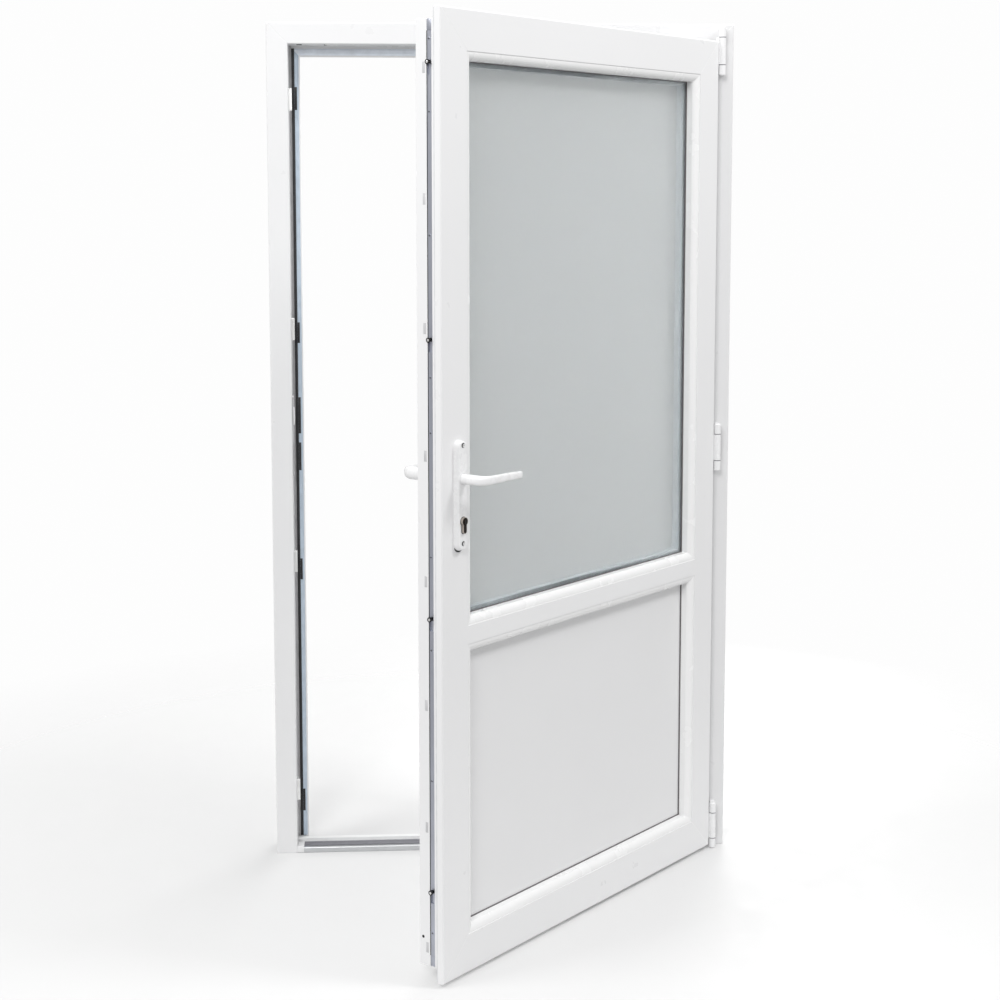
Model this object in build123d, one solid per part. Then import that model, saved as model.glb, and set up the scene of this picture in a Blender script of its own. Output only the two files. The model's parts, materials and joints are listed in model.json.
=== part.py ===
from build123d import *
import math
import os

# A white plastic-profile exterior door in its outer frame, half glazed, standing partly open.
# Millimetres, +Z up. The opening side faces -Y and the hinges are at +X.
# The origin is at the middle of the frame's underside.

# Overall sizes
FRAME_WIDTH = 1100.0
FRAME_HEIGHT = 2000.0
FRAME_DEPTH = 78.0
LEAF_DEPTH = 80.0
OPEN_ANGLE = 48.3

# Outer frame profile
JAMB_FACE = 50.0
STOP_WIDTH = 25.0
STOP_DEPTH = 14.0
FRAME_EDGE_RADIUS = 2.5
WALL_GROOVE_WIDTH = 14.0
WALL_GROOVE_DEPTH = 4.0
WALL_GROOVE_PLACES = (20.0, 58.0)
STOP_SLOPE = 3.0

# How the leaf lies in the frame when it is shut
OVERLAP = 9.0
FLANGE_THICKNESS = 16.0
SEAL_GAP = 5.0
LEAF_BOTTOM = 8.0
SOFT_CLEARANCE = 0.3

# Leaf profile
BODY_INSET = 20.0
SASH_FACE = 81.0
FLANGE_RADIUS = 4.0
BEAD_WIDTH = 18.0
BACK_LEG = 24.0
MID_RAIL_BOTTOM = 698.0
MID_RAIL_FACE = 37.5
HARDWARE_AXIS = 45.0
HARDWARE_GROOVE_WIDTH = 12.0
HARDWARE_GROOVE_DEPTH = 10.0
BODY_EDGE_RADIUS = 2.0

# Glazing and infill
PANE_RECESS = 28.0
GLASS_THICKNESS = 4.0
SPACER_DEPTH = 16.0
GLASS_COVER = 13.0
SPACER_SIGHT = 9.0
SPACER_WIDTH = 14.0
BEAD_FRONT = 1.5
BEAD_NOSE = 4.0
BEAD_FALL = 11.0
BEAD_BULGE = (12.6, 4.6)
BEAD_GASKET_DEPTH = 3.0
BEAD_GASKET_WIDTH = 7.0
BEAD_GASKET_LIP = 1.5

# Seals
FRAME_SEAL_WIDTH = 16.0
FRAME_SEAL_LIP = 4.0
LEAF_SEAL_WIDTH = 8.0
LEAF_SEAL_EDGE = 2.0
LEAF_SEAL_LIP = 1.5

# Threshold
THRESHOLD_NOSE = 13.0
THRESHOLD_TREAD = 42.0
THRESHOLD_RISE = 1.0
THRESHOLD_TOP = 23.0
THRESHOLD_STEP = 4.0
THRESHOLD_FALL = 1.0
THRESHOLD_BACK = 12.0
THRESHOLD_RADIUS = 3.0
UPSTAND_WIDTH = 9.0
UPSTAND_BEVEL = 2.0
TREAD_INSERT_START = 10.0
TREAD_INSERT_WIDTH = 26.0
TREAD_INSERT_DEPTH = 2.0
TREAD_INSERT_PROUD = 1.6

# Hinges
HINGE_SIDE_OFFSET = 10.0
HINGE_FRONT_OFFSET = 3.0
HINGE_COUNT = 3
LOWEST_HINGE_RISE = 57.0
HIGHEST_HINGE_DROP = 64.0
BARREL_RADIUS = 8.0
PIN_RADIUS = 4.0
PIN_CLEARANCE = 0.05
LEAF_KNUCKLE = 62.0
FRAME_KNUCKLE = 22.0
WASHER_THICKNESS = 1.6
WASHER_GAP = 0.3
CAP_HEIGHT = 2.0
CAP_SHOULDER = 0.5
CAP_TOP_RADIUS = 5.0
ARM_LEFT = 4.0
ARM_RIGHT = 8.0
LEAF_PLATE = 8.0

# Lock strip, rod and keeps
FACEPLATE_THICKNESS = 2.5
FACEPLATE_END = 24.0
LOWEST_CAM_RISE = 179.0
CAM_BELOW_SPINDLE = 286.0
CAM_ABOVE_SPINDLE = 275.0
HIGHEST_CAM_DROP = 104.0
CAM_STEM_RADIUS = 3.5
CAM_HEAD_RADIUS = 5.0
CAM_HEAD_THICKNESS = 2.5
CAM_REACH = 7.0
CAM_TRAVEL = 20.0
CAM_SLOT_CLEARANCE = 0.6
ROD_THICKNESS = 3.0
ROD_WIDTH = 10.0
ROD_END_GAP = 5.0
KEEP_DROP = 32.0
KEEP_HEIGHT = 52.0
KEEP_WIDTH = 26.0
KEEP_BASE = 2.5
KEEP_LIP = 7.5
KEEP_LIP_THICKNESS = 4.0
KEEP_LIP_GAP = 1.0
KEEP_CHAMFER = 1.5
STRIKE_BELOW_SPINDLE = 108.0
STRIKE_ABOVE_SPINDLE = 86.0
STRIKE_WIDTH = 26.0
STRIKE_CORNER = 6.0
LATCH_HOLE = (16.0, 56.0)
BOLT_HOLE = (-98.0, -34.0)
STRIKE_HOLE_WIDTH = 16.0
STRIKE_HOLE_DEPTH = 14.0
VENT_COUNT = 8
LOWEST_VENT_RISE = 58.0
HIGHEST_VENT_DROP = 114.0
VENT_SLOT_LENGTH = 22.0
VENT_SLOT_WIDTH = 7.0
VENT_SLOT_DEPTH = 3.0
VENT_SLOT_AXIS = 59.0

# Handle furniture
HANDLE_FROM_EDGE = 51.0
SPINDLE_HEIGHT = 1040.0
PLATE_WIDTH = 30.0
PLATE_ABOVE = 77.0
PLATE_BELOW = 145.0
PLATE_THICKNESS = 13.0
PLATE_FOOT = 4.0
PLATE_DRAFT = 15.0
PLATE_CORNER = 14.0
PLATE_EDGE = 1.2
LEVER_NECK_RADIUS = 10.5
LEVER_BORE_CLEARANCE = 0.3
LEVER_BORE_DEPTH = 4.0
LEVER_OUT = 66.0
LEVER_LENGTH = 119.0
LEVER_THICKNESS = 12.0
LEVER_CORNER = 3.0
LEVER_TAPER = 1.4
LEVER_TIP_CHAMFER = 1.2
INNER_LEVER_HEIGHT = 19.0
INNER_LEVER_FALL = 3.0
OUTER_LEVER_HEIGHT = 27.0
OUTER_LEVER_FALL = 7.0
LEVER_BEND = 15.0
SPINDLE_SIDE = 8.0
SPINDLE_HOLE_RADIUS = 9.0
CYLINDER_DROP = 85.0
CYLINDER_RADIUS = 8.5
CYLINDER_STEM = 10.0
CYLINDER_TALL = 33.0
CYLINDER_OUT = 5.0
CYLINDER_CLEARANCE = 0.3

# Places worked out from the sizes above
FACE_Y = -FRAME_DEPTH / 2
EDGE_GAP = JAMB_FACE - OVERLAP
LEAF_LEFT = -FRAME_WIDTH / 2 + EDGE_GAP
LEAF_RIGHT = FRAME_WIDTH / 2 - EDGE_GAP
LEAF_TOP = FRAME_HEIGHT - EDGE_GAP
LEAF_Y = FACE_Y - SEAL_GAP - FLANGE_THICKNESS
LEAF_BACK_Y = LEAF_Y + LEAF_DEPTH
BACK_LEG_START = LEAF_DEPTH - BACK_LEG
MID_RAIL_TOP = MID_RAIL_BOTTOM + MID_RAIL_FACE
HINGE_X = LEAF_RIGHT + HINGE_SIDE_OFFSET
HINGE_Y = LEAF_Y - HINGE_FRONT_OFFSET
HANDLE_X = LEAF_LEFT + HANDLE_FROM_EDGE
REAR_PANE_RECESS = PANE_RECESS + GLASS_THICKNESS + SPACER_DEPTH
SASH_INNER = SASH_FACE + BEAD_WIDTH
REBATE_LEFT = -FRAME_WIDTH / 2 + JAMB_FACE
REBATE_RIGHT = FRAME_WIDTH / 2 - JAMB_FACE
STOP_START = FRAME_DEPTH - STOP_DEPTH
HARDWARE_Y = LEAF_Y + HARDWARE_AXIS
LOCK_EDGE_X = LEAF_LEFT + BODY_INSET
CYLINDER_HEIGHT = SPINDLE_HEIGHT - CYLINDER_DROP
SEAL_THICKNESS = SEAL_GAP - SOFT_CLEARANCE
FAR = 3 * FRAME_HEIGHT
MITRE_SHARE = 0.4
SAME_PLACE = 0.01


def flat_outline(points):
    """A closed face on the XY plane through the points."""
    return make_face(Polyline(*points, close=True))


def evenly(first, last, count):
    """Heights spaced evenly from the first to the last."""
    return [first + (last - first) * i / (count - 1) for i in range(count)]


HINGE_HEIGHTS = evenly(LOWEST_HINGE_RISE, FRAME_HEIGHT - HIGHEST_HINGE_DROP, HINGE_COUNT)
CAM_HEIGHTS = [LEAF_BOTTOM + LOWEST_CAM_RISE, SPINDLE_HEIGHT - CAM_BELOW_SPINDLE,
               SPINDLE_HEIGHT + CAM_ABOVE_SPINDLE, LEAF_TOP - HIGHEST_CAM_DROP]
VENT_HEIGHTS = evenly(LEAF_BOTTOM + LOWEST_VENT_RISE, LEAF_TOP - HIGHEST_VENT_DROP, VENT_COUNT)


def box(low, high):
    """A box between two corners."""
    sizes = [high[i] - low[i] for i in range(3)]
    middle = [(high[i] + low[i]) / 2 for i in range(3)]
    return Pos(*middle) * Box(*sizes)


def soften(face, places, radius):
    """Round the corners of a section that lie at the given places."""
    spots = [Vector(*place) for place in places]
    chosen = [v for v in face.vertices() if any((v.center() - spot).length < SAME_PLACE for spot in spots)]
    return fillet(chosen, radius) if chosen else face


class Ring:
    """Four mitred members around a rectangle. A section is drawn as (inward, backward) points."""

    def __init__(self, left, right, bottom, top, front_y, square_feet=False):
        self.left = left
        self.right = right
        self.bottom = bottom
        self.top = top
        self.front_y = front_y
        self.square_feet = square_feet

    def mitre(self, side):
        """The prism that one member keeps inside its 45 degree cuts."""
        reach = MITRE_SHARE * min(self.right - self.left, self.top - self.bottom)
        left, right, bottom, top = self.left, self.right, self.bottom, self.top
        low_left = (left + reach, bottom if self.square_feet else bottom + reach)
        low_right = (right - reach, low_left[1])
        high_left = (left + reach, top - reach)
        high_right = (right - reach, top - reach)
        outlines = {
            "left": [(left, bottom), low_left, high_left, (left, top)],
            "right": [(right, bottom), (right, top), high_right, low_right],
            "top": [(left, top), high_left, high_right, (right, top)],
            "bottom": [(left, bottom), (right, bottom), low_right, low_left],
        }
        plane = Plane(origin=(0, 0, 0), x_dir=(1, 0, 0), z_dir=(0, -1, 0))
        return extrude(plane * flat_outline(outlines[side]), FRAME_WIDTH, both=True)

    def member(self, side, section):
        """One member of the ring, from its section, cut at its mitres."""
        width = self.right - self.left
        height = self.top - self.bottom
        runs = {
            "left": (Plane((self.left, self.front_y, self.bottom), (1, 0, 0), (0, 0, 1)), height),
            "right": (Plane((self.right, self.front_y, self.top), (-1, 0, 0), (0, 0, -1)), height),
            "top": (Plane((self.left, self.front_y, self.top), (0, 0, -1), (1, 0, 0)), width),
            "bottom": (Plane((self.right, self.front_y, self.bottom), (0, 0, 1), (-1, 0, 0)), width),
        }
        plane, length = runs[side]
        return extrude(plane * section, length) & self.mitre(side)

    def inset(self, amount):
        """The same ring, smaller by amount on every side."""
        left, right = self.left + amount, self.right - amount
        return Ring(left, right, self.bottom + amount, self.top - amount, self.front_y)


def frame_section():
    """The outer frame's profile: face, rebate, stop and the grooves on its wall side."""
    wide = JAMB_FACE + STOP_WIDTH
    face = flat_outline([
        (0, 0), (JAMB_FACE, 0), (JAMB_FACE, STOP_START), (wide - STOP_SLOPE, STOP_START),
        (wide, STOP_START + STOP_SLOPE), (wide, FRAME_DEPTH), (0, FRAME_DEPTH),
    ])
    face = soften(face, [(0, 0), (JAMB_FACE, 0)], FRAME_EDGE_RADIUS)
    for place in WALL_GROOVE_PLACES:
        groove = Rectangle(2 * WALL_GROOVE_DEPTH, WALL_GROOVE_WIDTH)
        face -= Pos(0, place) * groove
    return face


def sash_section():
    """The leaf's profile: flange, body with its hardware groove, bead rebate and back leg."""
    face = flat_outline([
        (0, 0), (SASH_FACE, 0), (SASH_FACE, BACK_LEG_START), (SASH_INNER, BACK_LEG_START),
        (SASH_INNER, LEAF_DEPTH), (BODY_INSET, LEAF_DEPTH), (BODY_INSET, FLANGE_THICKNESS),
        (0, FLANGE_THICKNESS),
    ])
    back_corners = [(BODY_INSET, LEAF_DEPTH), (SASH_INNER, LEAF_DEPTH), (0, FLANGE_THICKNESS)]
    face = soften(face, [(0, 0)], FLANGE_RADIUS)
    face = soften(face, back_corners, BODY_EDGE_RADIUS)
    groove = Rectangle(2 * HARDWARE_GROOVE_DEPTH, HARDWARE_GROOVE_WIDTH)
    return face - Pos(BODY_INSET, HARDWARE_AXIS) * groove


def bead_section():
    """The glazing bead: a flat nose, a falling front and a square heel on the glass gasket."""
    heel = PANE_RECESS - BEAD_GASKET_DEPTH
    nose = Polyline((0, heel), (0, BEAD_FRONT), (BEAD_NOSE, BEAD_FRONT))
    front = ThreePointArc((BEAD_NOSE, BEAD_FRONT), BEAD_BULGE, (BEAD_WIDTH, BEAD_FALL))
    base = Polyline((BEAD_WIDTH, BEAD_FALL), (BEAD_WIDTH, heel), (0, heel))
    return make_face(nose + front + base)


def bead_gasket_section():
    """The dark strip between a bead and its pane, with a lip that shows past the bead."""
    low = BEAD_WIDTH + BEAD_GASKET_LIP - BEAD_GASKET_WIDTH
    heel = PANE_RECESS - BEAD_GASKET_DEPTH
    high = BEAD_WIDTH + BEAD_GASKET_LIP
    return flat_outline([
        (low, heel), (BEAD_WIDTH, heel), (high, heel + BEAD_GASKET_LIP), (high, PANE_RECESS),
        (low, PANE_RECESS),
    ])


def make_threshold():
    """The low aluminium threshold, its dark tread strip and its white upstand."""
    upstand_end = THRESHOLD_TREAD + UPSTAND_WIDTH
    tread = THRESHOLD_NOSE + THRESHOLD_RISE
    shelf = THRESHOLD_TOP - THRESHOLD_STEP
    profile = flat_outline([
        (0, 0), (0, THRESHOLD_NOSE), (THRESHOLD_TREAD, tread), (upstand_end, tread), (upstand_end, shelf),
        (STOP_START, shelf - THRESHOLD_FALL), (FRAME_DEPTH, THRESHOLD_BACK), (FRAME_DEPTH, 0),
    ])
    profile = soften(profile, [(0, THRESHOLD_NOSE)], THRESHOLD_RADIUS)
    plane = Plane((REBATE_LEFT, FACE_Y, 0), (0, 1, 0), (1, 0, 0))
    length = REBATE_RIGHT - REBATE_LEFT
    sill = extrude(plane * profile, length)
    strip_low = THRESHOLD_NOSE - TREAD_INSERT_DEPTH
    strip_high = THRESHOLD_NOSE + TREAD_INSERT_PROUD
    strip_end = TREAD_INSERT_START + TREAD_INSERT_WIDTH
    strip = extrude(plane * flat_outline([
        (TREAD_INSERT_START, strip_low), (TREAD_INSERT_START, strip_high), (strip_end, strip_high),
        (strip_end, strip_low),
    ]), length)
    upstand = extrude(plane * flat_outline([
        (THRESHOLD_TREAD, tread), (THRESHOLD_TREAD, THRESHOLD_TOP - UPSTAND_BEVEL),
        (THRESHOLD_TREAD + UPSTAND_BEVEL, THRESHOLD_TOP), (upstand_end, THRESHOLD_TOP), (upstand_end, tread),
    ]), length)
    return sill - strip, strip, upstand


def frame_pieces():
    """The fixed frame: two jambs, the head, the threshold and the seals on the stops."""
    ring = Ring(-FRAME_WIDTH / 2, FRAME_WIDTH / 2, 0, FRAME_HEIGHT, FACE_Y, square_feet=True)
    section = frame_section()
    sill, strip, upstand = make_threshold()
    sill_room = sill + strip + upstand
    pieces = {
        "lock_jamb": ring.member("left", section) - sill_room,
        "hinge_jamb": ring.member("right", section) - sill_room,
        "frame_head": ring.member("top", section),
        "threshold": sill,
        "threshold_tread": strip,
        "threshold_upstand": upstand,
    }
    high = JAMB_FACE + STOP_WIDTH - STOP_SLOPE
    low = high - FRAME_SEAL_WIDTH
    crown = STOP_START - SEAL_THICKNESS
    seal = flat_outline([
        (low, STOP_START), (low + FRAME_SEAL_LIP, crown), (high - FRAME_SEAL_LIP, crown), (high, STOP_START),
    ])
    seal_ring = Ring(ring.left, ring.right, THRESHOLD_TOP, ring.top, FACE_Y, square_feet=True)
    pieces["lock_jamb_seal"] = seal_ring.member("left", seal)
    pieces["hinge_jamb_seal"] = seal_ring.member("right", seal)
    pieces["head_seal"] = seal_ring.member("top", seal)
    return pieces


def keep_solid(height):
    """One keep on the lock jamb: a base on the rebate wall and a lip in front of the cam."""
    low_y = HARDWARE_Y - KEEP_WIDTH / 2
    low_z = height - KEEP_DROP - KEEP_HEIGHT / 2
    high_z = low_z + KEEP_HEIGHT
    base = box((REBATE_LEFT, low_y, low_z), (REBATE_LEFT + KEEP_BASE, low_y + KEEP_WIDTH, high_z))
    lip_high = HARDWARE_Y - CAM_HEAD_RADIUS - KEEP_LIP_GAP
    lip_low = lip_high - KEEP_LIP_THICKNESS
    lip = box((REBATE_LEFT, lip_low, low_z), (REBATE_LEFT + KEEP_LIP, lip_high, high_z))
    keep = base + lip
    return chamfer(keep.edges().filter_by(Axis.X).group_by(Axis.Z)[-1], KEEP_CHAMFER)


def strike_solid():
    """The main strike plate on the lock jamb."""
    half = STRIKE_WIDTH / 2
    plate = box((REBATE_LEFT, HARDWARE_Y - half, SPINDLE_HEIGHT - STRIKE_BELOW_SPINDLE),
                (REBATE_LEFT + KEEP_BASE, HARDWARE_Y + half, SPINDLE_HEIGHT + STRIKE_ABOVE_SPINDLE))
    return fillet(plate.edges().filter_by(Axis.X), STRIKE_CORNER)


def strike_holes():
    """The latch's and the bolt's pockets, through the strike plate and into the jamb."""
    half = STRIKE_HOLE_WIDTH / 2
    holes = []
    for low, high in (LATCH_HOLE, BOLT_HOLE):
        holes.append(box((REBATE_LEFT - STRIKE_HOLE_DEPTH, HARDWARE_Y - half, SPINDLE_HEIGHT + low),
                         (REBATE_LEFT + STRIKE_HOLE_DEPTH, HARDWARE_Y + half, SPINDLE_HEIGHT + high)))
    return holes


def hinge_pieces():
    """Frame knuckles, leaf knuckles, pins and washers of the three hinges."""
    barrel = Circle(BARREL_RADIUS)
    bore = Circle(PIN_RADIUS + PIN_CLEARANCE)
    frame_side = barrel + Pos((ARM_RIGHT - ARM_LEFT) / 2, (FACE_Y - HINGE_Y) / 2) * Rectangle(
        ARM_LEFT + ARM_RIGHT, FACE_Y - HINGE_Y)
    leaf_side = barrel + Pos(-HINGE_SIDE_OFFSET / 2, HINGE_FRONT_OFFSET + LEAF_PLATE / 2) * Rectangle(
        HINGE_SIDE_OFFSET, LEAF_PLATE)
    washer_space = WASHER_THICKNESS + WASHER_GAP
    frame_parts = []
    leaf_parts = []
    pins = []
    washers = []
    for centre in HINGE_HEIGHTS:
        half = LEAF_KNUCKLE / 2
        at = Pos(HINGE_X, HINGE_Y, centre)
        leaf_parts.append(at * Pos(0, 0, -half) * extrude(leaf_side - bore, LEAF_KNUCKLE))
        for low in (half + washer_space, -half - washer_space - FRAME_KNUCKLE):
            frame_parts.append(at * Pos(0, 0, low) * extrude(frame_side - bore, FRAME_KNUCKLE))
        for low in (half + WASHER_GAP, -half - washer_space):
            washers.append(at * Pos(0, 0, low) * extrude(barrel - bore, WASHER_THICKNESS))
        reach = half + washer_space + FRAME_KNUCKLE
        pin = Pos(0, 0, -reach) * extrude(Circle(PIN_RADIUS), 2 * reach)
        cap = Cone(BARREL_RADIUS - CAP_SHOULDER, CAP_TOP_RADIUS, CAP_HEIGHT)
        cap = Pos(0, 0, reach + CAP_HEIGHT / 2) * cap
        pins.append(at * (pin + cap + mirror(cap, Plane.XY)))
    return frame_parts, leaf_parts, pins, washers


def cylinder_outline(clearance=0.0):
    """The lock cylinder's profile: a round head over a narrow stem, as (sideways, up)."""
    depth = CYLINDER_TALL - CYLINDER_RADIUS - CYLINDER_STEM / 2
    stem = Pos(0, -depth / 2) * Rectangle(CYLINDER_STEM + 2 * clearance, depth)
    foot = Pos(0, -depth) * Circle(CYLINDER_STEM / 2 + clearance)
    return Circle(CYLINDER_RADIUS + clearance) + stem + foot


def through(outline, x, z, low_y, high_y):
    """An outline drawn as (sideways, up) about x and z, run through the leaf from low_y to high_y."""
    return extrude(Plane((x, high_y, z), (1, 0, 0), (0, -1, 0)) * outline, high_y - low_y)


def leaf_frame_pieces():
    """The leaf's four mitred members and its middle rail, with the lock's grooves and holes cut."""
    ring = Ring(LEAF_LEFT, LEAF_RIGHT, LEAF_BOTTOM, LEAF_TOP, LEAF_Y)
    section = sash_section()
    pieces = {
        "lock_stile": ring.member("left", section),
        "hinge_stile": ring.member("right", section),
        "leaf_top_rail": ring.member("top", section),
        "leaf_bottom_rail": ring.member("bottom", section),
    }
    inner = ring.inset(SASH_FACE)
    leg = ring.inset(SASH_INNER)
    leg_y = LEAF_Y + BACK_LEG_START
    web = box((inner.left, LEAF_Y, MID_RAIL_BOTTOM), (inner.right, leg_y, MID_RAIL_TOP))
    back = box((leg.left, leg_y, MID_RAIL_BOTTOM - BEAD_WIDTH),
               (leg.right, LEAF_BACK_Y, MID_RAIL_TOP + BEAD_WIDTH))
    pieces["mid_rail"] = web + back
    holes = through(cylinder_outline(CYLINDER_CLEARANCE), HANDLE_X, CYLINDER_HEIGHT, -FAR, FAR)
    holes += through(Circle(SPINDLE_HOLE_RADIUS), HANDLE_X, SPINDLE_HEIGHT, -FAR, FAR)
    stile = pieces["lock_stile"] - holes
    for height in VENT_HEIGHTS:
        low_y = LEAF_Y + VENT_SLOT_AXIS - VENT_SLOT_WIDTH / 2
        stile -= box((LOCK_EDGE_X - VENT_SLOT_DEPTH, low_y, height - VENT_SLOT_LENGTH / 2),
                     (LOCK_EDGE_X + VENT_SLOT_DEPTH, low_y + VENT_SLOT_WIDTH, height + VENT_SLOT_LENGTH / 2))
    pieces["lock_stile"] = stile
    return pieces


def glazing_pieces():
    """Beads, gaskets, panes, spacer and the lower panel."""
    sash = Ring(LEAF_LEFT, LEAF_RIGHT, LEAF_BOTTOM, LEAF_TOP, LEAF_Y).inset(SASH_FACE)
    upper = Ring(sash.left, sash.right, MID_RAIL_TOP, sash.top, LEAF_Y)
    lower = Ring(sash.left, sash.right, sash.bottom, MID_RAIL_BOTTOM, LEAF_Y)
    pieces = {}
    bead = bead_section()
    gasket = bead_gasket_section()
    for name, ring in (("glass", upper), ("panel", lower)):
        strips = []
        for side in ("left", "right", "top", "bottom"):
            pieces[f"{name}_bead_{side}"] = ring.member(side, bead)
            strips.append(ring.member(side, gasket))
        pieces[f"{name}_gasket"] = Compound(children=strips)
    edge = BEAD_WIDTH - GLASS_COVER
    pane = upper.inset(edge)
    front = LEAF_Y + PANE_RECESS
    rear = LEAF_Y + REAR_PANE_RECESS
    spacer_y = front + GLASS_THICKNESS
    rear_end = rear + GLASS_THICKNESS
    pieces["front_pane"] = box((pane.left, front, pane.bottom), (pane.right, spacer_y, pane.top))
    pieces["rear_pane"] = box((pane.left, rear, pane.bottom), (pane.right, rear_end, pane.top))
    sight = BEAD_WIDTH + SPACER_SIGHT
    outer = upper.inset(sight - SPACER_WIDTH)
    inner = upper.inset(sight)
    spacer = box((outer.left, spacer_y, outer.bottom), (outer.right, rear, outer.top))
    spacer -= box((inner.left, spacer_y - FAR, inner.bottom), (inner.right, rear + FAR, inner.top))
    pieces["glass_spacer"] = spacer
    slab = lower.inset(edge)
    pieces["lower_panel"] = box((slab.left, front, slab.bottom), (slab.right, rear_end, slab.top))
    return pieces


def lock_pieces():
    """The faceplate strip, the driving rod behind it and the four cams."""
    low_z = LEAF_BOTTOM + BODY_INSET + FACEPLATE_END
    high_z = LEAF_TOP - BODY_INSET - FACEPLATE_END
    half = HARDWARE_GROOVE_WIDTH / 2
    slot_half = CAM_STEM_RADIUS + CAM_SLOT_CLEARANCE
    plate = box((LOCK_EDGE_X, HARDWARE_Y - half, low_z),
                (LOCK_EDGE_X + FACEPLATE_THICKNESS, HARDWARE_Y + half, high_z))
    rod_x = LOCK_EDGE_X + FACEPLATE_THICKNESS + SOFT_CLEARANCE
    rod = box((rod_x, HARDWARE_Y - ROD_WIDTH / 2, low_z + CAM_TRAVEL + ROD_END_GAP),
              (rod_x + ROD_THICKNESS, HARDWARE_Y + ROD_WIDTH / 2, high_z - ROD_END_GAP))
    stem_length = CAM_REACH + rod_x - LOCK_EDGE_X
    cams = []
    for height in CAM_HEIGHTS:
        plate -= box((LOCK_EDGE_X - CAM_REACH, HARDWARE_Y - slot_half, height - CAM_TRAVEL - slot_half),
                     (rod_x, HARDWARE_Y + slot_half, height + slot_half))
        plane = Plane((rod_x, HARDWARE_Y, height), (0, 1, 0), (-1, 0, 0))
        stem = extrude(plane * Circle(CAM_STEM_RADIUS), stem_length)
        head_plane = plane.offset(stem_length - CAM_HEAD_THICKNESS)
        cams.append(stem + extrude(head_plane * Circle(CAM_HEAD_RADIUS), CAM_HEAD_THICKNESS))
    return plate, rod, Compound(children=cams)


def leaf_seal():
    """The dark seal on the back of the leaf's flange, all round."""
    low = LEAF_SEAL_EDGE
    high = low + LEAF_SEAL_WIDTH
    crown = FLANGE_THICKNESS + SEAL_THICKNESS
    section = flat_outline([
        (low, FLANGE_THICKNESS), (high, FLANGE_THICKNESS), (high - LEAF_SEAL_LIP, crown),
        (low + LEAF_SEAL_LIP, crown),
    ])
    ring = Ring(LEAF_LEFT, LEAF_RIGHT, LEAF_BOTTOM, LEAF_TOP, LEAF_Y)
    return Compound(children=[ring.member(side, section) for side in ("left", "right", "top", "bottom")])


def handle_plate():
    """The inside back plate: drafted sides on an upright foot, and holes for lever and cylinder."""
    tall = PLATE_ABOVE + PLATE_BELOW
    middle = SPINDLE_HEIGHT + (PLATE_ABOVE - PLATE_BELOW) / 2
    outline = RectangleRounded(PLATE_WIDTH, tall, PLATE_CORNER)
    foot = through(outline, HANDLE_X, middle, LEAF_Y - PLATE_FOOT, LEAF_Y)
    shoulder = Plane((HANDLE_X, LEAF_Y - PLATE_FOOT, middle), (1, 0, 0), (0, -1, 0))
    body = extrude(shoulder * outline, PLATE_THICKNESS - PLATE_FOOT, taper=PLATE_DRAFT)
    plate = foot + body
    plate = chamfer(plate.faces().sort_by(Axis.Y)[0].edges(), PLATE_EDGE)
    bore = Circle(LEVER_NECK_RADIUS + LEVER_BORE_CLEARANCE)
    plate -= through(bore, HANDLE_X, SPINDLE_HEIGHT, -FAR, FAR)
    return plate - through(cylinder_outline(CYLINDER_CLEARANCE), HANDLE_X, CYLINDER_HEIGHT, -FAR, FAR)


def lever_section(height, fall):
    """The grip's eight-sided section; its corners fall by so much of its height."""
    back = LEVER_THICKNESS / 2
    top = height / 2
    inset = back - LEVER_CORNER
    low = top - fall
    return flat_outline([
        (back, low), (inset, top), (-inset, top), (-back, low), (-back, -low), (-inset, -top), (inset, -top),
        (back, -low),
    ])


def lever(height, fall):
    """An inside lever: a round neck in the plate, a bend and an eight-sided grip with a taper."""
    neck_y = LEAF_Y - PLATE_THICKNESS + LEVER_BORE_DEPTH
    grip_y = LEAF_Y - LEVER_OUT
    neck = through(Circle(LEVER_NECK_RADIUS), HANDLE_X, SPINDLE_HEIGHT, grip_y + LEVER_BEND, neck_y)
    section = lever_section(height, fall)
    start = Plane((HANDLE_X + LEVER_BEND, grip_y, SPINDLE_HEIGHT), (0, 1, 0), (1, 0, 0))
    grip = extrude(start * section, LEVER_LENGTH - LEVER_BEND, taper=LEVER_TAPER)
    grip = chamfer(grip.faces().sort_by(Axis.X)[-1].edges(), LEVER_TIP_CHAMFER)
    axis = Axis((HANDLE_X + LEVER_BEND, grip_y + LEVER_BEND, SPINDLE_HEIGHT), (0, 0, 1))
    elbow = revolve(start * section, axis, -90)
    return neck + elbow + grip


def turn_over(shape):
    """The mirrored copy of an inside piece, on the leaf's other face."""
    return mirror(shape, Plane((0, LEAF_Y + LEAF_DEPTH / 2, 0), (1, 0, 0), (0, -1, 0)))


def opened(shape):
    """Turn a piece of the shut leaf about the hinge line to where the leaf stands."""
    return shape.rotate(Axis((HINGE_X, HINGE_Y, 0), (0, 0, 1)), OPEN_ANGLE)


def save(name, shape):
    """Write one named piece."""
    if isinstance(shape, list):
        shape = Compound(children=shape)
    export_step(shape, f"parts/{name}.step")


os.makedirs("parts", exist_ok=True)

fixed = frame_pieces()
frame_knuckles, leaf_knuckles, hinge_pins, hinge_washers = hinge_pieces()
fixed["hinge_frame_knuckles"] = frame_knuckles
fixed["hinge_pins"] = hinge_pins
fixed["hinge_washers"] = hinge_washers
fixed["security_keeps"] = [keep_solid(height) for height in CAM_HEIGHTS]
main_strike = strike_solid()
for pocket in strike_holes():
    main_strike -= pocket
    fixed["lock_jamb"] -= pocket
fixed["main_strike"] = main_strike

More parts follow.
